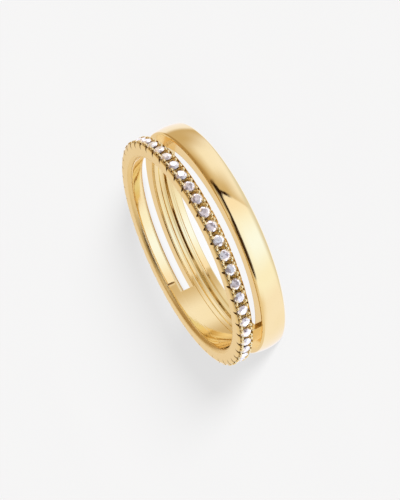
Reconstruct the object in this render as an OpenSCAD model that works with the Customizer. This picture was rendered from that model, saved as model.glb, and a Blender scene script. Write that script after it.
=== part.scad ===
// Double ring: a narrow band set with stones all round and a wider plain domed band,
// cast as one piece with an open slot between them and a bridge that joins them at the back.
// The ring lies on its side. The finger hole runs along Z, the plain band is at the bottom,
// the middle of the bridge is on +Y, and the origin is on the hole's axis at the lower face.

/* [Finger hole] */
// Inside diameter of the ring
bore_d = 17.2; // [15:0.1:21]

/* [Plain band] */
// Width of the plain band along the finger
plain_w = 2.17; // [1.6:0.01:3]
// Wall of the plain band at its side faces, before the shoulders are rounded
plain_edge_t = 1.32; // [1:0.02:1.6]
// Rise of the dome above the side faces
plain_dome = 0.15; // [0.14:0.01:0.4]
// Rounding of the shoulders between the dome and the side faces
shoulder_r = 0.24; // [0.18:0.02:0.3]
// Rounding of the plain band's inner edges
plain_inner_edge_r = 0.1; // [0.06:0.02:0.3]

/* [Stone band] */
// Width of the stone band along the finger
stone_band_w = 1.4; // [1.25:0.05:1.8]
// Wall of the stone band, from the finger hole to its crest
stone_band_t = 1.48; // [1.36:0.02:1.6]
// Rounding of the stone band's outer edges
stone_outer_edge_r = 0.38; // [0.3:0.02:0.42]
// Rounding of the stone band's inner edges
stone_inner_edge_r = 0.36; // [0.1:0.02:0.4]
// Thickness of the rail on each side of the stones
rail_w = 0.13; // [0.12:0.01:0.16]
// Depth of the channel that holds the stones
channel_depth = 0.6; // [0.5:0.05:0.7]
// Depth of the V cut into the rails beside each stone
notch_depth = 0.45; // [0.3:0.05:0.45]
// Width of the V cut at the top of the rails
notch_w = 0.3; // [0.2:0.02:0.4]

/* [Stones] */
// Number of stones in the full circle
stone_count = 48; // [40:1:50]
// Diameter of one stone
stone_d = 1.05; // [0.95:0.01:1.06]
// Angle of the first stone, counted from +X
first_stone = 5.5; // [0:0.1:7.5]
// Height of the crown above the rim of a stone
crown_h = 0.2; // [0.15:0.01:0.26]

/* [Slot and bridge] */
// Width of the open slot between the bands
slot_w = 0.84; // [0.6:0.02:1.5]
// Length of the bridge, as an angle round the ring
bridge_angle = 96.8; // [60:0.2:140]
// Wall of the bridge
bridge_t = 0.45; // [0.4:0.05:0.8]

/* [Hidden] */
$fn = 180;

bore_r = bore_d / 2;
dome_top_r = bore_r + plain_edge_t + plain_dome;
// radius of the arc that passes through both edges and the top of the dome
dome_arc_r = (plain_w * plain_w / 4 + plain_dome * plain_dome) / (2 * plain_dome);
stone_band_z = plain_w + slot_w;
stone_band_r = bore_r + stone_band_t;
stone_mid_z = stone_band_z + stone_band_w / 2;
channel_w = stone_band_w - 2 * rail_w;
channel_r = stone_band_r - channel_depth;
stone_step = 360 / stone_count;
// clearance between the stones and the metal, how far the bridge runs into each band, which is
// less than a rail, and how far a cutting shape runs past what it cuts
gap = 0.02;
seam = 0.1;
overlap = 0.2;
// the row stands on a plain collar in the lower part of the channel
collar_w = channel_w - 0.3;
collar_top_r = stone_band_r - notch_depth / 2;
rim_low_r = collar_top_r - 0.1;
rim_top_r = stone_band_r - 0.12;
table_d = 0.56 * stone_d;

// a rectangle from radius r0 to r1 and height z0 to z1, with rounded corners: inner at r0, outer at r1
module band_section(r0, r1, z0, z1, inner, outer) {
    translate([r0 + inner, z0]) square([r1 - outer - r0 - inner, z1 - z0]);
    translate([r0, z0 + inner]) square([inner, z1 - z0 - 2 * inner]);
    translate([r1 - outer, z0 + outer]) square([outer, z1 - z0 - 2 * outer]);
    for (z = [z0 + inner, z1 - inner]) translate([r0 + inner, z]) circle(inner);
    for (z = [z0 + outer, z1 - outer]) translate([r1 - outer, z]) circle(outer);
}

module plain_band() {
    rotate_extrude() intersection() {
        band_section(bore_r, dome_top_r, 0, plain_w, plain_inner_edge_r, shoulder_r);
        translate([dome_top_r - dome_arc_r, plain_w / 2]) circle(dome_arc_r);
    }
}

module notch() {
    reach = 0.1;
    top_r = stone_band_r + reach;
    half = notch_w / 2 * (notch_depth + reach) / notch_depth;
    translate([0, 0, stone_band_z - overlap])
        linear_extrude(stone_band_w + 2 * overlap)
            polygon([[stone_band_r - notch_depth, 0], [top_r, -half], [top_r, half]]);
}

module stone_band() {
    top_z = stone_band_z + stone_band_w;
    difference() {
        rotate_extrude() difference() {
            band_section(bore_r, stone_band_r, stone_band_z, top_z, stone_inner_edge_r, stone_outer_edge_r);
            translate([channel_r, stone_band_z + rail_w]) square([channel_depth + overlap, channel_w]);
        }
        for (i = [0 : stone_count - 1]) rotate(first_stone + i * stone_step) notch();
    }
}

module bridge() {
    // the ends of the bridge are flat, and it runs a little way into both bands;
    // its inner half is wider and fills the rounded inner edges beside it
    fill_w = plain_inner_edge_r + slot_w + stone_inner_edge_r;
    rotate(90 - bridge_angle / 2) rotate_extrude(angle = bridge_angle) {
        translate([bore_r, plain_w - seam]) square([bridge_t, slot_w + 2 * seam]);
        translate([bore_r, plain_w - plain_inner_edge_r]) square([bridge_t / 2, fill_w]);
    }
}

module double_band() {
    color("gold") union() {
        plain_band();
        stone_band();
        bridge();
    }
}

module stone() {
    translate([0, 0, stone_mid_z]) rotate([0, 90, 0]) {
        translate([0, 0, rim_low_r]) cylinder(d = stone_d, h = rim_top_r - rim_low_r);
        translate([0, 0, rim_top_r]) cylinder(d1 = stone_d, d2 = table_d, h = crown_h);
    }
}

module stone_row() {
    color("lavender") union() {
        rotate_extrude() translate([channel_r + gap, stone_mid_z - collar_w / 2])
            square([collar_top_r - channel_r - gap, collar_w]);
        for (i = [0 : stone_count - 1]) rotate(first_stone + i * stone_step) stone();
    }
}

double_band();
stone_row();
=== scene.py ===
# Double ring: a plain domed band and a stone-set band joined by a bridge, lying on its side.
# Sizes in the dictionaries are millimetres and degrees unless a note there says metres. The pieces are
# made in metres.
import math
import random

import bpy
import numpy as np
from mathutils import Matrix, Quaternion, Vector


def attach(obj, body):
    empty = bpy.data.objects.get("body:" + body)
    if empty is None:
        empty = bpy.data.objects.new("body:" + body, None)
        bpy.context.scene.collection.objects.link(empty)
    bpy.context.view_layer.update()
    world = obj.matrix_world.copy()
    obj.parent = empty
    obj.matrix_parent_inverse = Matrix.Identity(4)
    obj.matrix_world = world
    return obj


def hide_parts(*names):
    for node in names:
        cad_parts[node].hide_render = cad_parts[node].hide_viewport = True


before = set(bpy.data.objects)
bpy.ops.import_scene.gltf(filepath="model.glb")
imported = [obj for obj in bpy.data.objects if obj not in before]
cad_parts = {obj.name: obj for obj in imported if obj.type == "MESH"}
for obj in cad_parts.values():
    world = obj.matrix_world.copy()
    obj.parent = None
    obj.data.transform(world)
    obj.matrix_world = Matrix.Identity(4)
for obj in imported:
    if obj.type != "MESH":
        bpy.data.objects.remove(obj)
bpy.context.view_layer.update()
mm = 0.001
random.seed(48)
print("frame loaded")


# Outlines are lists of (radius, height, normal radius, normal height), going round the metal.
def arcPoints(centre, radius, startAngle, endAngle, steps):
    points = []
    for i in range(steps + 1):
        a = math.radians(startAngle + (endAngle - startAngle) * i / steps)
        outward, upward = math.cos(a), math.sin(a)
        points.append((centre[0] + radius * outward, centre[1] + radius * upward, outward, upward))
    return points


def linePoints(start, end, normal, steps):
    points = []
    for i in range(1, steps):
        t = i / steps
        place = (start[0] + (end[0] - start[0]) * t, start[1] + (end[1] - start[1]) * t)
        points.append((*place, *normal))
    return points


def newPiece(name, vertices, faces, smooth=True):
    mesh = bpy.data.meshes.new(name)
    mesh.from_pydata(vertices, [], faces)
    if smooth:
        mesh.shade_smooth()
    piece = bpy.data.objects.new(name, mesh)
    bpy.context.collection.objects.link(piece)
    return piece


# Places and normals are (rows, columns, 3) arrays; rows always close on themselves.
def gridPiece(name, places, normals, closedRound=True, capEnds=False):
    rows, columns = places.shape[:2]
    vertices = (places.reshape(-1, 3) * mm).tolist()
    faces = []
    for i in range(rows):
        low, high = i * columns, (i + 1) % rows * columns
        for j in range(columns if closedRound else columns - 1):
            nextJ = (j + 1) % columns
            faces.append((low + j, low + nextJ, high + nextJ, high + j))
    if capEnds:
        faces.append([i * columns for i in range(rows)])
        faces.append([i * columns + columns - 1 for i in reversed(range(rows))])
    piece = newPiece(name, vertices, faces)
    lengths = np.linalg.norm(normals, axis=2, keepdims=True)
    piece.data.normals_split_custom_set_from_vertices((normals / lengths).reshape(-1, 3).tolist())
    return piece


# Carries an outline round the ring. A station is (angle, inset, lean): inset pulls the outline in,
# lean turns its normals towards the end.
def sweptPiece(name, outline, stations, closedRound):
    outline = np.array(outline)
    angles = np.radians([s[0] for s in stations])
    insets = np.array([s[1] for s in stations])
    leans = np.radians([s[2] for s in stations])
    radius = outline[:, 0:1] - outline[:, 2:3] * insets
    height = outline[:, 1:2] - outline[:, 3:4] * insets
    outward = np.stack([np.cos(angles), np.sin(angles), 0 * angles], axis=-1)
    onward = np.stack([-np.sin(angles), np.cos(angles), 0 * angles], axis=-1)
    up = np.array([0, 0, 1.0])
    places = radius[..., None] * outward + height[..., None] * up
    flat = outline[:, None, 2:3] * outward + outline[:, None, 3:4] * up
    normals = flat * np.cos(leans)[None, :, None] + onward * np.sin(leans)[None, :, None]
    return gridPiece(name, places, normals, closedRound, not closedRound)


# Plain domed band
plainBand = {
    "boreRadius": 8.6,
    "width": 2.17,
    "edgeThickness": 1.32,
    "domeRise": 0.15,
    "shoulderRadius": 0.24,
    "innerEdgeRadius": 0.1,
    # low hollows that polishing left in the inner wall: height, how far the wall lies back
    "innerWall": [
        (2.17, 0.03), (1.97, 0), (1.78, 0), (1.7, 0.018), (1.5, 0), (1.36, 0),
        (1.22, 0.062), (0.92, 0), (0.8, 0), (0.7, 0.02), (0.48, 0), (0, 0),
    ],
    "sideSteps": 5,
    "shoulderSteps": 14,
    "domeSteps": 26,
    "edgeSteps": 8,
    "wallSteps": 90,
    "stepsRound": 540,
}


def plainBandOutline(size):
    boreR, width = size["boreRadius"], size["width"]
    topR = boreR + size["edgeThickness"] + size["domeRise"]
    arcR = (width ** 2 / 4 + size["domeRise"] ** 2) / (2 * size["domeRise"])
    shoulderR, edgeR = size["shoulderRadius"], size["innerEdgeRadius"]
    sideSteps, shoulderSteps, edgeSteps = size["sideSteps"], size["shoulderSteps"], size["edgeSteps"]
    domeCentre = (topR - arcR, width / 2)
    shoulderReach = math.sqrt((arcR - shoulderR) ** 2 - (width / 2 - shoulderR) ** 2)
    shoulderCentreR = domeCentre[0] + shoulderReach
    shoulderAngle = math.degrees(math.atan2(width / 2 - shoulderR, shoulderReach))
    outline = linePoints((boreR + edgeR, 0), (shoulderCentreR, 0), (0, -1), sideSteps)
    lowCentre, highCentre = (shoulderCentreR, shoulderR), (shoulderCentreR, width - shoulderR)
    outline += arcPoints(lowCentre, shoulderR, -90, -shoulderAngle, shoulderSteps)
    outline += arcPoints(domeCentre, arcR, -shoulderAngle, shoulderAngle, size["domeSteps"])[1:-1]
    outline += arcPoints(highCentre, shoulderR, shoulderAngle, 90, shoulderSteps)
    outline += linePoints((shoulderCentreR, width), (boreR + edgeR, width), (0, 1), sideSteps)
    outline += arcPoints((boreR + edgeR, width - edgeR), edgeR, 90, 180, edgeSteps)
    for i in range(1, size["wallSteps"]):
        z = width - edgeR - (width - 2 * edgeR) * i / size["wallSteps"]
        for (highZ, highBack), (lowZ, lowBack) in zip(size["innerWall"], size["innerWall"][1:]):
            if lowZ <= z <= highZ:
                t = (z - lowZ) / (highZ - lowZ)
                back = lowBack + (highBack - lowBack) * t * t * (3 - 2 * t)
                slope = (highBack - lowBack) * 6 * t * (1 - t) / (highZ - lowZ)
        outline.append((boreR + back, z, -1, slope))
    outline += arcPoints((boreR + edgeR, edgeR), edgeR, 180, 270, edgeSteps)
    return outline


roundSteps = plainBand["stepsRound"]
fullCircle = [(360 * i / roundSteps, 0, 0) for i in range(roundSteps)]
plainBandPiece = sweptPiece("plain_band", plainBandOutline(plainBand), fullCircle, True)
print("plain band made")

# Bridge that joins the bands at the back
bridge = {
    "middleAngle": 90,
    "angle": 96.8,
    "boreRadius": 8.6,
    "thickness": 0.45,
    "from": 2.17,
    "to": 3.01,
    "edgeRadius": 0.05,
    "intoBands": 0.1,
    "overLowEdge": 0.12,  # how far the inner face runs over the bands' rounded inner edges
    "overHighEdge": 0.38,
    "overDrop": 0.04,  # how much thinner it is there
    "proud": 0.0015,
    "acrossSteps": (6, 10),  # outer face, inner face
    "endSteps": 6,
    "roundSteps": 120,
}


def bridgeOutline(size):
    innerR, outerR = size["boreRadius"] - size["proud"], size["boreRadius"] + size["thickness"]
    midR = innerR + size["thickness"] / 2
    overR = midR - size["overDrop"]
    outerSteps, innerSteps = size["acrossSteps"]
    low, high = size["from"], size["to"]
    innerLow, innerHigh = low - size["overLowEdge"], high + size["overHighEdge"]
    outerLow, outerHigh = low - size["intoBands"], high + size["intoBands"]
    outline = [(outerR, outerLow, 1, 0)]
    outline += linePoints((outerR, outerLow), (outerR, outerHigh), (1, 0), outerSteps)
    outline += [(outerR, outerHigh, 1, 0), (midR, outerHigh, 0, 1), (overR, innerHigh, 0, 1)]
    outline += [(innerR, innerHigh, -1, 0)]
    outline += linePoints((innerR, innerHigh), (innerR, innerLow), (-1, 0), innerSteps)
    outline += [(innerR, innerLow, -1, 0), (overR, innerLow, 0, -1), (midR, outerLow, 0, -1)]
    return outline


def bridgeStations(size):
    half = size["angle"] / 2
    edgeR = size["edgeRadius"]
    roundSpan = math.degrees(edgeR / size["boreRadius"])
    stations = []
    for i in range(size["endSteps"]):  # rounded end, from its flat face inwards
        turn = math.radians(90 * i / size["endSteps"])
        angle = -half + roundSpan * (1 - math.cos(turn))
        stations.append((angle, edgeR * (1 - math.sin(turn)), -90 + math.degrees(turn)))
    start, span, steps = -half + roundSpan, 2 * half - 2 * roundSpan, size["roundSteps"]
    middle = [(start + span * i / steps, 0, 0) for i in range(steps + 1)]
    stations += middle + [(-a, inset, -lean) for a, inset, lean in reversed(stations)]
    return [(size["middleAngle"] + a, inset, lean) for a, inset, lean in stations]


bridgePiece = sweptPiece("slot_bridge", bridgeOutline(bridge), bridgeStations(bridge), False)
print("bridge made")

# Stone band: its outer edges are rounded, and cut in a V beside every stone, which leaves a rounded
# block at every gap. "Along" runs round the ring from a stone's middle, "across" from the band's middle.
stoneBand = {
    "boreRadius": 8.6,
    "from": 3.01,
    "width": 1.4,
    "crestRadius": 10.08,
    "innerEdgeRadius": 0.36,
    "outerEdgeRadius": 0.38,
    "railWidth": 0.13,
    "stones": 48,
    "firstStone": 5.5,
    "cutTipRadius": 9.46,
    "cutHalfWidth": 0.17,  # at the crest
    "blockDrop": 0.04,
    "bedRadius": 9.86,
    "grooveDepth": 0.12,
    "grooveFrom": 0.5,
    "grooveSlope": 0.04,
    "seatRadius": 0.54,
    "seatSlope": 0.9,
    "pitDepth": 0.5,
    "pitAlong": 0.24,
    "pitAcross": 0.36,
    "recessFrom": 0.1,  # depth under the bed from which the metal is dull and painted darker, as painted shade
    "recessTo": 0.6,  # height over the inner wall down to which it is
    "cutStart": 0.03,  # height over the cuts' tips from which the metal is dull and painted darker, as painted shade
    "cutReach": 0.02,  # how far below a cut's bottom it still is
    "tolerance": 0.01,  # by how much a place may miss a rail or a cut
    # a nick across the inner wall, close to the bridge's end, painted with the cuts' darker colour as
    # painted shade
    "nick": {"angle": 35, "halfWidth": 0.4, "from": 3.5, "to": 4.1, "depth": 0.1, "reach": 0.05},
    # where the mesh has its rows: on the inner wall, up the side face, round the edges and across the bed
    "wallRows": (0.3, 0.65, 0.95),
    "sideStart": 0.05,
    "sideRows": (9.14, 9.28, 9.41),
    "edgeRow": 0.02,  # how far the extra row beside a sharp edge lies from it
    "railFace": 0.015,  # how far the rail's inner face leans
    "innerEdgeRows": (12, 24, 36, 48, 60, 72, 84),
    "outerEdgeRows": (14, 27, 38, 47),
    "bedRows": (0.53, 0.5, 0.46, 0.42, 0.37, 0.32, 0.27, 0.22, 0.17, 0.12, 0.06),
    # and its columns, from a stone's middle to the middle of the gap
    "columns": (0, 0.025, 0.05, 0.08, 0.11, 0.14, 0.17, 0.22, 0.28, 0.35, 0.42, 0.5, 0.58),
}
stepAngle = 360 / stoneBand["stones"]
halfPitch = math.radians(stepAngle / 2) * stoneBand["crestRadius"]


def smoothRamp(x):
    x = min(1, max(0, x))
    return x * x * (3 - 2 * x)


# Radius of the V cut's bottom, above which nothing stands.
def cutRadius(along, size):
    slope = (size["crestRadius"] - size["cutTipRadius"]) / size["cutHalfWidth"]
    return size["cutTipRadius"] + slope * abs(along)


# Radius of the rounded outer edge, which drops a little towards the cuts.
def edgeRadius(along, across, size):
    cornerR = size["outerEdgeRadius"]
    past = min(cornerR, max(0, across - (size["width"] / 2 - cornerR)))
    fromGap = halfPitch - abs(along)
    drop = size["blockDrop"] * (fromGap / halfPitch) ** 2
    return size["crestRadius"] - cornerR + math.sqrt(cornerR ** 2 - past ** 2) - drop


# Radius of the metal inside the rails: the bed, the groove beside the rails, the seats and the pits.
def bedRadius(along, across, size):
    fromStone = math.hypot(along, across)
    intoGroove = smoothRamp((across - size["grooveFrom"]) / size["grooveSlope"])
    bed = size["bedRadius"] - size["grooveDepth"] * intoGroove
    bed = min(bed, size["bedRadius"] - max(0, size["seatRadius"] - fromStone) * size["seatSlope"])
    fromPit = math.hypot((halfPitch - abs(along)) / size["pitAlong"], across / size["pitAcross"])
    return bed - size["pitDepth"] * (1 - smoothRamp(fromPit))


# Half of a section through the stone band, as (radius, across), from the middle of its inner wall to
# the middle of its bed.
def stoneBandHalf(along, size):
    half = size["width"] / 2
    boreR, innerR, outerR = size["boreRadius"], size["innerEdgeRadius"], size["outerEdgeRadius"]
    railInner = half - size["railWidth"]
    cornerLow = size["crestRadius"] - outerR
    section = [(boreR, (half - innerR) * t) for t in size["wallRows"]]
    for a in size["innerEdgeRows"]:
        turn = math.radians(a)
        section.append((boreR + innerR * (1 - math.cos(turn)), half - innerR * (1 - math.sin(turn))))
    cut = cutRadius(along, size)
    sideHigh = min(cornerLow, cut)
    sideLow = boreR + innerR + size["sideStart"]
    sideRows = (sideLow, *size["sideRows"], sideHigh - size["edgeRow"], sideHigh)
    section += [(r, half) for r in sideRows]
    edgeRows = [half - outerR * (1 - math.cos(math.radians(a))) for a in size["outerEdgeRows"]]
    for across in (*edgeRows, railInner + size["edgeRow"], railInner):
        section.append((min(edgeRadius(along, across, size), cut), across))
    for across in (railInner - size["railFace"], *size["bedRows"]):
        section.append((min(edgeRadius(along, across, size), bedRadius(along, across, size)), across))
    return section


# The stone band's materials: polished, and two painted darker as painted shade: in the pits beside the
# stones, and in the V cuts and the groove
polished, pitShadeMetal, cutShadeMetal = 0, 1, 2


# Which of them a place shows: the pits, the V cuts and the groove get painted shade. The slot's side stays
# bright.
def metalAt(radius, along, across, size):
    near = size["tolerance"]
    if across > size["width"] / 2 - size["railWidth"] - near:
        cut = cutRadius(along, size)
        isCut = cut < edgeRadius(along, across, size) - near
        dullShadedFrom = max(cut, size["cutTipRadius"] + size["cutStart"]) - size["cutReach"]
        return cutShadeMetal if isCut and radius > dullShadedFrom else polished
    dullShadedLow, dullShadedHigh = size["boreRadius"] + size["recessTo"], size["bedRadius"] - size["recessFrom"]
    if dullShadedLow < radius < dullShadedHigh:
        if across > size["grooveFrom"]:
            return cutShadeMetal
        return pitShadeMetal if across > -size["pitAcross"] else polished
    return polished


def makeStoneBand(size):
    alongs = [-a for a in reversed(size["columns"][1:])] + list(size["columns"])
    middleZ = size["from"] + size["width"] / 2
    boreR, count = size["boreRadius"], size["stones"]
    columns = []
    for along in alongs:
        upper = stoneBandHalf(along, size)
        lower = [(r, -across) for r, across in reversed(upper)]
        columns.append(upper + [(bedRadius(along, 0, size), 0)] + lower + [(boreR, 0)])
    cell = np.array(columns).transpose(1, 0, 2)  # rows, columns, (radius, across)
    metals = []
    for row in cell.tolist():
        metals.append([metalAt(r, along, across, size) for along, (r, across) in zip(alongs, row)])
    radius = np.tile(cell[:, :, 0], (1, count))
    height = middleZ + np.tile(cell[:, :, 1], (1, count))
    metals = np.tile(np.array(metals), (1, count))
    stoneAngles = np.radians(size["firstStone"] + stepAngle * np.arange(count))
    angles = (stoneAngles[:, None] + np.array(alongs)[None, :] / size["crestRadius"]).ravel()
    nick = size["nick"]
    inNick = (height > nick["from"]) & (height < nick["to"]) & (radius < boreR + nick["reach"])
    inNick &= np.abs(np.degrees(angles) - nick["angle"]) < nick["halfWidth"]
    radius = radius + nick["depth"] * inNick
    places = np.stack([radius * np.cos(angles), radius * np.sin(angles), height], axis=-1)
    places = places[::-1]  # the other way round, so that the faces look outwards
    alongRow = np.roll(places, -1, axis=0) - np.roll(places, 1, axis=0)
    alongColumn = np.roll(places, -1, axis=1) - np.roll(places, 1, axis=1)
    piece = gridPiece("stone_band", places, np.cross(alongColumn, alongRow))
    # the nick takes the cuts' darker colour: painted shade in the crease
    metals = np.where(inNick, cutShadeMetal, metals)[::-1]
    corners = [np.roll(metals, shift, (0, 1)) for shift in ((0, 0), (-1, 0), (0, -1), (-1, -1))]
    faceMetals = np.sort(np.stack(corners), axis=0)[2]  # the third of a face's four corners
    piece.data.polygons.foreach_set("material_index", faceMetals.astype(np.int32).ravel())
    return piece


stoneBandObject = makeStoneBand(stoneBand)
print("stone band made")

# Beads: two for every stone on each side, raised from the blocks to hold the stones' rims
beads = {
    "radius": 0.168,
    "fromGap": 0.22,
    "fromMiddle": 0.42,
    "footRadius": 9.7,
    "topRadius": 10.11,
    # outline of a bead, as parts of its radius and of its height
    "profile": [
        (1, 0), (1, 0.5), (0.985, 0.62), (0.9, 0.76), (0.74, 0.88), (0.5, 0.96), (0.22, 0.995),
    ],
    "uneven": 0.06,
    "stepsRound": 14,
}


def makeBeads(size, band):
    middleZ = band["from"] + band["width"] / 2
    profile, steps = size["profile"], size["stepsRound"]
    vertices, faces = [], []
    height = size["topRadius"] - size["footRadius"]
    for k in range(band["stones"]):
        gapAngle = math.radians(band["firstStone"] + (k + 0.5) * stepAngle)
        for side in (-1, 1):
            for way in (-1, 1):
                radius = size["radius"] * random.uniform(1 - size["uneven"], 1 + size["uneven"])
                angle = gapAngle + way * size["fromGap"] / band["crestRadius"]
                outward = Vector((math.cos(angle), math.sin(angle), 0))
                onward = Vector((-math.sin(angle), math.cos(angle), 0))
                foot = outward * size["footRadius"] + Vector((0, 0, middleZ + side * size["fromMiddle"]))
                first = len(vertices)
                for across, up in profile:
                    for i in range(steps):
                        turn = 2 * math.pi * i / steps
                        spread = onward * math.cos(turn) + Vector((0, 0, math.sin(turn)))
                        vertices.append((foot + spread * radius * across + outward * height * up) * mm)
                vertices.append((foot + outward * height) * mm)
                for ring in range(len(profile) - 1):
                    for i in range(steps):
                        a = first + ring * steps + i
                        b = first + ring * steps + (i + 1) % steps
                        faces.append((a, b, b + steps, a + steps))
                last = first + (len(profile) - 1) * steps
                for i in range(steps):
                    faces.append((last + i, last + (i + 1) % steps, len(vertices) - 1))
                faces.append([first + i for i in reversed(range(steps))])
    return newPiece("setting_beads", vertices, faces)


beadObject = makeBeads(beads, stoneBand)
print("beads made")

# Round brilliant stones. The table and the heights of crown, rim and pavilion are parts of the
# diameter, and the star and lower half facets are parts of their way to the rim.
stones = {
    "diameter": 0.95,
    "table": 0.57,
    "crown": 0.165,
    "rim": 0.03,
    "pavilion": 0.42,
    "star": 0.5,
    "lowerHalf": 0.76,
    "rimRadius": 9.915,  # where the top of the rim lies, from the hole's axis
    "leanMost": 2.5,
    "spinMost": 45,
}


# Vertices and faces of one stone, its rim's top at height 0 and its table upwards.
def brilliant(size):
    outer = size["diameter"] / 2
    tableR = size["table"] * outer
    crownH, rimH, pavilionH = (size[k] * size["diameter"] for k in ("crown", "rim", "pavilion"))
    cut = math.cos(math.radians(22.5))
    starR = tableR * cut + size["star"] * (outer - tableR * cut)
    starH = crownH * (outer - starR * cut) / (outer - tableR)
    lowerR = outer * (1 - size["lowerHalf"])
    lowerH = -rimH - pavilionH * (outer - lowerR * cut) / outer

    def circle(radius, height, count, shift):
        turns = [math.radians(shift + 360 * i / count) for i in range(count)]
        return [(radius * math.cos(turn), radius * math.sin(turn), height) for turn in turns]

    vertices = circle(tableR, crownH, 8, 0) + circle(starR, starH, 8, 22.5) + circle(outer, 0, 16, 0)
    vertices += circle(outer, -rimH, 16, 0) + circle(lowerR, lowerH, 8, 22.5) + [(0, 0, -rimH - pavilionH)]
    table, star, rimTop, rimLow, lower, culet = 0, 8, 16, 32, 48, 56
    faces = [list(range(8))]
    for k in range(8):
        nextK, before = (k + 1) % 8, (k - 1) % 8
        a, b, c = 2 * k, 2 * k + 1, (2 * k + 2) % 16
        faces.append((table + k, star + k, table + nextK))
        faces.append((table + k, star + before, rimTop + a, star + k))
        faces += [(star + k, rimTop + a, rimTop + b), (star + k, rimTop + b, rimTop + c)]
        for one, two in ((a, b), (b, c)):
            faces.append((rimTop + one, rimLow + one, rimLow + two, rimTop + two))
        faces += [(lower + k, rimLow + b, rimLow + a), (lower + k, rimLow + c, rimLow + b)]
        faces.append((culet, lower + k, rimLow + a, lower + before))
    return vertices, faces


def makeStones(size, band):
    middleZ = band["from"] + band["width"] / 2
    cutVertices, cutFaces = brilliant(size)
    vertices, faces = [], []
    for k in range(band["stones"]):
        angle = math.radians(band["firstStone"] + k * stepAngle)
        outward = Vector((math.cos(angle), math.sin(angle), 0))
        onward = Vector((-math.sin(angle), math.cos(angle), 0))
        spin = Quaternion((0, 0, 1), math.radians(random.uniform(0, size["spinMost"])))
        lean = Quaternion((1, 0, 0), math.radians(random.uniform(-1, 1) * size["leanMost"]))
        tip = Quaternion((0, 1, 0), math.radians(random.uniform(-1, 1) * size["leanMost"]))
        first = len(vertices)
        for v in cutVertices:
            p = lean @ (tip @ (spin @ Vector(v)))
            place = outward * (size["rimRadius"] + p.z) + onward * p.x + Vector((0, 0, middleZ + p.y))
            vertices.append(place * mm)
        faces += [[first + i for i in reversed(f)] for f in cutFaces]
    return newPiece("brilliant_stones", vertices, faces, smooth=False)


stoneObject = makeStones(stones, stoneBand)
print("stones made")


# Small helpers for the materials' nodes
def addNode(tree, kind, **settings):
    node = tree.nodes.new(kind)
    for name, value in settings.items():
        if name in node.inputs:
            node.inputs[name].default_value = value
        else:
            setattr(node, name, value)
    return node


def noiseOver(tree, scale, size, detail=3):
    place = addNode(tree, "ShaderNodeTexCoord")
    stretch = addNode(tree, "ShaderNodeMapping", Scale=scale)
    noise = addNode(tree, "ShaderNodeTexNoise", Scale=size, Detail=detail)
    tree.links.new(place.outputs["Object"], stretch.inputs["Vector"])
    tree.links.new(stretch.outputs["Vector"], noise.inputs["Vector"])
    return noise.outputs["Fac"]


rangeNames = ("From Min", "From Max", "To Min", "To Max")


def rangeOf(tree, value, fromMin, fromMax, toMin, toMax):
    node = addNode(tree, "ShaderNodeMapRange")
    for name, number in zip(rangeNames, (fromMin, fromMax, toMin, toMax)):
        node.inputs[name].default_value = number
    tree.links.new(value, node.inputs["Value"])
    return node.outputs["Result"]


# A colour is three numbers or another node's output. Inputs 6 and 7 and output 2 are the mix node's
# colour sockets.
def mixColours(tree, amount, first, second):
    node = addNode(tree, "ShaderNodeMix", data_type="RGBA")
    tree.links.new(amount, node.inputs["Factor"])
    for socket, colour in ((node.inputs[6], first), (node.inputs[7], second)):
        if isinstance(colour, tuple):
            socket.default_value = (*colour, 1)
        else:
            tree.links.new(colour, socket)
    return node.outputs[2]


# One or two values, each a number or another node's output.
def combine(tree, operation, *values):
    node = addNode(tree, "ShaderNodeMath", operation=operation)
    for socket, value in zip(node.inputs, values):
        if isinstance(value, (int, float)):
            socket.default_value = value
        else:
            tree.links.new(value, socket)
    return node.outputs[0]


# Polished gold: a warm yellow that varies a little, with faint polish marks that run round the ring
gold = {
    "colour": (0.95, 0.77, 0.42),
    "darker": (0.935, 0.745, 0.385),
    "patches": 260,  # patches of darker colour, streaks and marks are counted in a metre
    "patchContrast": (0.35, 0.65),
    "gloss": (0.045, 0.085),  # roughness, least and most
    "satin": 0.03,  # how much duller the flat side faces are
    "flatFrom": (0.97, 0.999),
    "innerSatin": 0.04,  # and the inner walls, between these distances from the hole's axis in metres
    "innerFrom": (0, 0.0001),
    "innerRadius": (0.00875, 0.0088),
    "shadeStreakColour": (0.62, 0.43, 0.12),  # painted shade: darker streaks that run round the inner wall
    "shadeStreakAmount": 0,
    "shadeStreakContrast": (0.42, 0.62),
    "shadeStreaksAlong": 70,
    "shadeStreaksAcross": 900,
    "marksAcross": 5200,
    "marksAlong": 260,
    "markContrast": (0.3, 0.7),
    "markDepth": 0.0000012,  # metres
}


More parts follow.
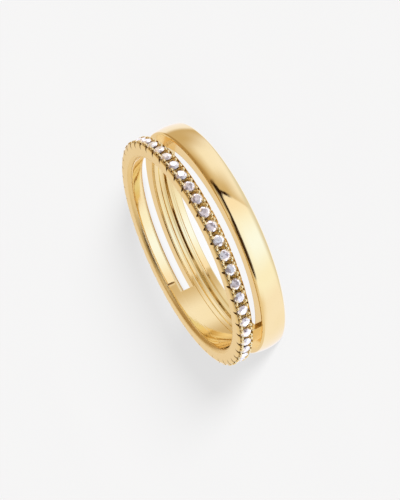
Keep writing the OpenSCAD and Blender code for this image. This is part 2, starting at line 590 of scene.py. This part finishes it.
def goldMaterial(name, size):
    material = bpy.data.materials.new(name)
    material.use_nodes = True
    tree = material.node_tree
    link = tree.links.new
    shader = tree.nodes["Principled BSDF"]
    shader.inputs["Metallic"].default_value = 1
    patches = noiseOver(tree, (1, 1, 1), size["patches"])
    patches = rangeOf(tree, patches, *size["patchContrast"], 0, 1)
    plain = mixColours(tree, patches, size["colour"], size["darker"])
    marks = noiseOver(tree, (size["marksAlong"], size["marksAlong"], size["marksAcross"]), 1)
    gloss = rangeOf(tree, marks, *size["markContrast"], *size["gloss"])

    # the flat side faces
    place = addNode(tree, "ShaderNodeTexCoord")
    facing = addNode(tree, "ShaderNodeSeparateXYZ")
    link(place.outputs["Normal"], facing.inputs["Vector"])
    upright = combine(tree, "ABSOLUTE", facing.outputs["Z"])
    satin = rangeOf(tree, upright, *size["flatFrom"], 0, size["satin"])

    # the inner walls, by the distance from the axis of the finger hole
    flat = addNode(tree, "ShaderNodeVectorMath", operation="MULTIPLY")
    flat.inputs[1].default_value = (1, 1, 0)
    fromAxis = addNode(tree, "ShaderNodeVectorMath", operation="LENGTH")
    link(place.outputs["Object"], flat.inputs[0])
    link(flat.outputs["Vector"], fromAxis.inputs[0])
    distance = fromAxis.outputs["Value"]
    innerEnd = rangeOf(tree, distance, *size["innerRadius"], size["innerSatin"], 0)
    innerStart = rangeOf(tree, distance, *size["innerFrom"], 0, 1)
    inner = combine(tree, "MULTIPLY", innerEnd, innerStart)
    # painted shade: darker streaks round the inner wall
    wander = noiseOver(tree, (size["shadeStreaksAlong"], size["shadeStreaksAlong"], size["shadeStreaksAcross"]), 1, 1)
    shadeStreaks = rangeOf(tree, wander, *size["shadeStreakContrast"], 0, size["shadeStreakAmount"])
    shadeStreaks = combine(tree, "MULTIPLY", shadeStreaks, rangeOf(tree, distance, *size["innerRadius"], 1, 0))
    link(mixColours(tree, shadeStreaks, plain, size["shadeStreakColour"]), shader.inputs["Base Color"])

    rough = combine(tree, "ADD", combine(tree, "ADD", gloss, satin), inner)
    link(rough, shader.inputs["Roughness"])
    bump = addNode(tree, "ShaderNodeBump", Distance=size["markDepth"])
    link(marks, bump.inputs["Height"])
    link(bump.outputs["Normal"], shader.inputs["Normal"])
    return material


beadObject.data.materials.append(goldMaterial("polished gold", gold))
bridgePiece.data.materials.append(goldMaterial("polished gold, bridge", {**gold, "innerSatin": 0}))
# the plain band's inner wall gets the painted shade streaks
plainBandGold = {**gold, "shadeStreakAmount": 0.45}
plainBandPiece.data.materials.append(goldMaterial("polished gold, painted shade streaks inside", plainBandGold))

# The stone band is dull on its rounded inner edges only. Its pits and cuts are duller and painted darker,
# as painted shade.
stoneBandGold = {
    **gold,
    "innerFrom": (0.008601, 0.008612),
    "innerRadius": (0.00888, 0.00896),
    "innerSatin": 0.28,
}
# painted shade: darker colours for the pits and the cuts
pitShadeGold = {**gold, "colour": (0.74, 0.54, 0.25), "darker": (0.56, 0.4, 0.17), "gloss": (0.2, 0.35)}
cutShadeGold = {**gold, "colour": (0.48, 0.31, 0.13), "darker": (0.38, 0.23, 0.09), "gloss": (0.22, 0.4)}
stoneBandObject.data.materials.append(goldMaterial("polished gold, stone band", stoneBandGold))
stoneBandObject.data.materials.append(goldMaterial("gold in the pits, painted shade", pitShadeGold))
stoneBandObject.data.materials.append(goldMaterial("gold in the cuts, painted shade", cutShadeGold))

# Clear stones, some a little more lilac and some a little bluer. The cell pattern stands for the
# small light and dark reflections that a cut stone shows inside.
stoneLook = {
    "lilac": (0.66, 0.6, 0.65),
    "blue": (0.62, 0.64, 0.7),
    "dark": (0.27, 0.23, 0.25),
    "patches": 900,  # patches and cells are counted in a metre
    "patchContrast": (0.4, 0.6),
    "cells": 4200,
    "cellContrast": (0.15, 0.75),
    "clear": 0.87,
    "bending": 1.7,
    "roughness": (0, 0.03),
    "roughContrast": (0.3, 0.7),
}


def stoneMaterial(size):
    material = bpy.data.materials.new("clear stone")
    material.use_nodes = True
    tree = material.node_tree
    shader = tree.nodes["Principled BSDF"]
    shader.inputs["IOR"].default_value = size["bending"]
    shader.inputs["Transmission Weight"].default_value = size["clear"]
    patches = noiseOver(tree, (1, 1, 1), size["patches"], 1)
    tint = rangeOf(tree, patches, *size["patchContrast"], 0, 1)
    light = mixColours(tree, tint, size["lilac"], size["blue"])
    place = addNode(tree, "ShaderNodeTexCoord")
    cells = addNode(tree, "ShaderNodeTexVoronoi", Scale=size["cells"])
    split = addNode(tree, "ShaderNodeSeparateColor")
    tree.links.new(place.outputs["Object"], cells.inputs["Vector"])
    tree.links.new(cells.outputs["Color"], split.inputs["Color"])
    shine = rangeOf(tree, split.outputs["Red"], *size["cellContrast"], 0, 1)
    tree.links.new(mixColours(tree, shine, size["dark"], light), shader.inputs["Base Color"])
    rough = rangeOf(tree, patches, *size["roughContrast"], *size["roughness"])
    tree.links.new(rough, shader.inputs["Roughness"])
    return material


stoneObject.data.materials.append(stoneMaterial(stoneLook))

for piece in (plainBandPiece, bridgePiece, stoneBandObject, beadObject):
    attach(piece, "root")
    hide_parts("double_band")
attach(stoneObject, "root")
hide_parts("stone_row")
print("gold and stones finished")

# Floor: partly lit by itself, so that it stays pale and its shadows stay soft. A painted pool of light, an
# extra glow of the floor itself, brightens it inside the ring and just behind it, where the polished metal
# would throw light down.
floorLook = {
    "reach": 12,  # metres
    "grey": 0.18,
    "grain": 40,  # in a metre
    "grainContrast": (0.3, 0.7),
    "grainShades": (0.99, 1.01),
    "glow": (0.643, 0.658, 0.68),
    "paintedLightPool": 0.2,
    "towards": 22.3,  # the way in which the painted pool of light runs
    "poolLength": 0.0105,  # how far it reaches from the ring's middle, and its half width, in metres
    "poolWidth": (0.0084, 0.0099),
}


def floorMaterial(size):
    material = bpy.data.materials.new("pale floor")
    material.use_nodes = True
    tree = material.node_tree
    shader = tree.nodes["Principled BSDF"]
    shader.inputs["Roughness"].default_value = 1
    shader.inputs["Specular IOR Level"].default_value = 0
    shader.inputs["Emission Strength"].default_value = 1
    grain = rangeOf(tree, noiseOver(tree, (1, 1, 1), size["grain"]), *size["grainContrast"], 0, 1)
    greys = [(size["grey"] * k,) * 3 for k in size["grainShades"]]
    tree.links.new(mixColours(tree, grain, *greys), shader.inputs["Base Color"])
    place = addNode(tree, "ShaderNodeTexCoord")
    angle = -math.radians(size["towards"])
    turn = addNode(tree, "ShaderNodeVectorRotate", rotation_type="Z_AXIS", Angle=angle)
    split = addNode(tree, "ShaderNodeSeparateXYZ")
    tree.links.new(place.outputs["Object"], turn.inputs["Vector"])
    tree.links.new(turn.outputs["Vector"], split.inputs["Vector"])
    along = addNode(tree, "ShaderNodeClamp", Max=size["poolLength"])
    flat = addNode(tree, "ShaderNodeCombineXYZ")
    distance = addNode(tree, "ShaderNodeVectorMath", operation="LENGTH")
    tree.links.new(split.outputs["X"], along.inputs["Value"])
    past = combine(tree, "SUBTRACT", split.outputs["X"], along.outputs["Result"])
    tree.links.new(past, flat.inputs["X"])
    tree.links.new(split.outputs["Y"], flat.inputs["Y"])
    tree.links.new(flat.outputs["Vector"], distance.inputs[0])
    # painted light: extra glow of the floor inside the ring and just behind it
    amount = rangeOf(tree, distance.outputs["Value"], *size["poolWidth"], 1, 0)
    lit = tuple(k + size["paintedLightPool"] for k in size["glow"])
    tree.links.new(mixColours(tree, amount, size["glow"], lit), shader.inputs["Emission Color"])
    return material


reach = floorLook["reach"]
floorCorners = [(-reach, -reach, 0), (reach, -reach, 0), (reach, reach, 0), (-reach, reach, 0)]
floor = newPiece("floor", floorCorners, [(0, 1, 2, 3)], smooth=False)
floor.visible_glossy = False
floor.visible_transmission = False
floor.data.materials.append(floorMaterial(floorLook))

# Studio light. "round" is degrees round the ring, 0 where the camera stands; "height" is degrees above
# the horizon. Every light or card is a soft patch with its colour; lean slants its sides, bow bends it
# down at its ends and drop bends it down over its right half.
studio = {
    "cameraSide": -157.7,
    "backdrop": 0.913,
    "horizon": (-6, 6),
    "bowSpan": 60,
    "dropSpan": (-10, 50),
    "low": (1.0, 1.0, 1.12),
    "high": (0.86, 0.75, 0.61),
    "patches": [
        {"name": "high left", "colour": (0.5, 0.4, 0.26),
         "round": (-200, -40), "height": (58, 100), "soft": (4, 25)},
        {"name": "light front", "colour": (1.04, 1.13, 1.34),
         "round": (-70, 60), "height": (-75, 7), "soft": (12, 3)},
        {"name": "middle of light", "colour": (1.05, 1.27, 1.85),
         "round": (-38, -4), "height": (-75, 2), "soft": (16, 12)},
        {"name": "warm end", "colour": (1.03, 0.98, 1.0),
         "round": (13, 60), "height": (-75, 9), "soft": (12, 2)},
        {"name": "card right", "colour": (0.68, 0.54, 0.35),
         "round": (36.2, 100), "height": (-75, 100), "soft": (2, 12), "lean": 0.57},
        {"name": "card right end", "colour": (0.64, 0.5, 0.32),
         "round": (93, 141), "height": (-75, 100), "soft": (6, 12), "lean": 0.25},
        {"name": "card right above", "colour": (0.47, 0.31, 0.14),
         "round": (44, 143), "height": (3, 100), "soft": (3, 4)},
        {"name": "card top", "colour": (0.34, 0.21, 0.09),
         "round": (57, 125), "height": (40, 62), "soft": (6, 9)},
        {"name": "light right", "colour": (1.0, 1.0, 1.1),
         "round": (52, 98), "height": (-75, -5), "soft": (16, 9)},
        {"name": "low light right", "colour": (1.03, 1.06, 1.25),
         "round": (30, 125), "height": (-75, -25), "soft": (14, 16), "lean": 0.3},
        {"name": "dark above", "colour": (0.05, 0.02, 0.004),
         "round": (-51.5, 11.5), "height": (6.4, 100), "soft": (3.5, 1.1), "bow": 1.8, "drop": 4.2},
        {"name": "dark top", "colour": (0.36, 0.28, 0.17),
         "round": (-60, 20), "height": (62, 100), "soft": (5, 20)},
        {"name": "fade above", "colour": (0.52, 0.43, 0.3),
         "round": (1, 20), "height": (36, 63), "soft": (7, 14)},
        {"name": "card above right", "colour": (0.43, 0.35, 0.22),
         "round": (17, 48), "height": (9, 100), "soft": (7, 3)},
        {"name": "light above right", "colour": (0.82, 0.71, 0.56),
         "round": (13, 52), "height": (34, 100), "soft": (5, 16)},
        {"name": "front edge", "colour": (0.03, 0.01, 0.001),
         "round": (0, 49), "height": (6.4, 11.4), "soft": (3, 1.1), "drop": 4.2},
        {"name": "upper edge", "colour": (0.12, 0.06, 0.015),
         "round": (48, 52.2), "height": (3, 24), "soft": (1.4, 6)},
        {"name": "right edge", "colour": (0.03, 0.009, 0.001),
         "round": (34.2, 38.8), "height": (-11, 5), "soft": (0.9, 5), "lean": 0.57},
        {"name": "edge corner", "colour": (0.02, 0.006, 0.001),
         "round": (31.5, 44.5), "height": (1, 8), "soft": (3, 1.5), "lean": 0.4},
        {"name": "low rim", "colour": (0.78, 0.8, 0.88),
         "round": (-110, 116), "height": (-100, -38), "soft": (10, 5)},
    ],
}


def studioLight(look):
    world = bpy.data.worlds.new("studio")
    bpy.context.scene.world = world
    world.use_nodes = True
    tree = world.node_tree

    def ramp(value, low, high, first=0, last=1):
        result = rangeOf(tree, value, low, high, first, last)
        result.node.interpolation_type = "SMOOTHSTEP"
        return result

    def band(value, limits, soft):
        rise = ramp(value, limits[0] - soft, limits[0] + soft)
        fall = ramp(value, limits[1] - soft, limits[1] + soft, 1, 0)
        return combine(tree, "MULTIPLY", rise, fall)

    place = addNode(tree, "ShaderNodeTexCoord")
    angle = -math.radians(look["cameraSide"])
    turn = addNode(tree, "ShaderNodeVectorRotate", rotation_type="Z_AXIS", Angle=angle)
    split = addNode(tree, "ShaderNodeSeparateXYZ")
    tree.links.new(place.outputs["Generated"], turn.inputs["Vector"])
    tree.links.new(turn.outputs["Vector"], split.inputs["Vector"])
    around = combine(tree, "DEGREES", combine(tree, "ARCTAN2", split.outputs["Y"], split.outputs["X"]))
    height = combine(tree, "DEGREES", combine(tree, "ARCSINE", split.outputs["Z"]))
    leftPart = combine(tree, "DIVIDE", combine(tree, "MINIMUM", around, 0), look["bowSpan"])
    bend = combine(tree, "POWER", leftPart, 2)
    drop = ramp(around, *look["dropSpan"])
    colour = mixColours(tree, ramp(height, *look["horizon"]), look["low"], look["high"])
    for patch in look["patches"]:
        slant = combine(tree, "MULTIPLY", height, patch.get("lean", 0))
        sideways = combine(tree, "SUBTRACT", around, slant)
        upwards = combine(tree, "ADD", height, combine(tree, "MULTIPLY", bend, patch.get("bow", 0)))
        upwards = combine(tree, "ADD", upwards, combine(tree, "MULTIPLY", drop, patch.get("drop", 0)))
        across = band(sideways, patch["round"], patch["soft"][0])
        mask = combine(tree, "MULTIPLY", across, band(upwards, patch["height"], patch["soft"][1]))
        colour = mixColours(tree, mask, colour, patch["colour"])
    path = addNode(tree, "ShaderNodeLightPath")
    seen = mixColours(tree, path.outputs["Is Camera Ray"], colour, (look["backdrop"],) * 3)
    tree.links.new(seen, tree.nodes["Background"].inputs["Color"])


studioLight(studio)

# Low soft lamp beside the camera, which only throws the soft shadow on the floor
lamp = {"azimuth": -149.5, "elevation": 8.5, "softness": 8, "strength": 20.8}


def wayTowards(place):
    azimuth, elevation = math.radians(place["azimuth"]), math.radians(place["elevation"])
    flat = math.cos(elevation)
    return Vector((math.cos(azimuth) * flat, math.sin(azimuth) * flat, math.sin(elevation)))


lampData = bpy.data.lights.new("low lamp", "SUN")
lampData.angle = math.radians(lamp["softness"])
lampData.energy = lamp["strength"]
lampObject = bpy.data.objects.new("low lamp", lampData)
bpy.context.collection.objects.link(lampObject)
lampObject.rotation_mode = "QUATERNION"
lampObject.rotation_quaternion = wayTowards(lamp).to_track_quat("Z", "Y")
lampObject.visible_glossy = False
lampObject.visible_transmission = False

# Camera, at the photograph's viewing angle
view = {
    "aim": (0.503, 0.605, 2.453),
    "distance": 500,
    "azimuth": -157.7,
    "elevation": 15.9,
    "roll": 114.87,
    "lens": 437.33,
    "sensorWidth": 36,
    "clip": (0.01, 20),
}
towards = wayTowards(view)
cameraData = bpy.data.cameras.new("camera")
cameraData.lens = view["lens"]
cameraData.sensor_width = view["sensorWidth"]
cameraData.clip_start, cameraData.clip_end = view["clip"]
camera = bpy.data.objects.new("camera", cameraData)
bpy.context.collection.objects.link(camera)
camera.location = (Vector(view["aim"]) + towards * view["distance"]) * mm
camera.rotation_mode = "QUATERNION"
roll = Quaternion((0, 0, 1), -math.radians(view["roll"]))
camera.rotation_quaternion = (-towards).to_track_quat("-Z", "Y") @ roll
bpy.context.scene.camera = camera
bpy.context.scene.view_settings.view_transform = "Standard"
print("camera, floor and light ready")
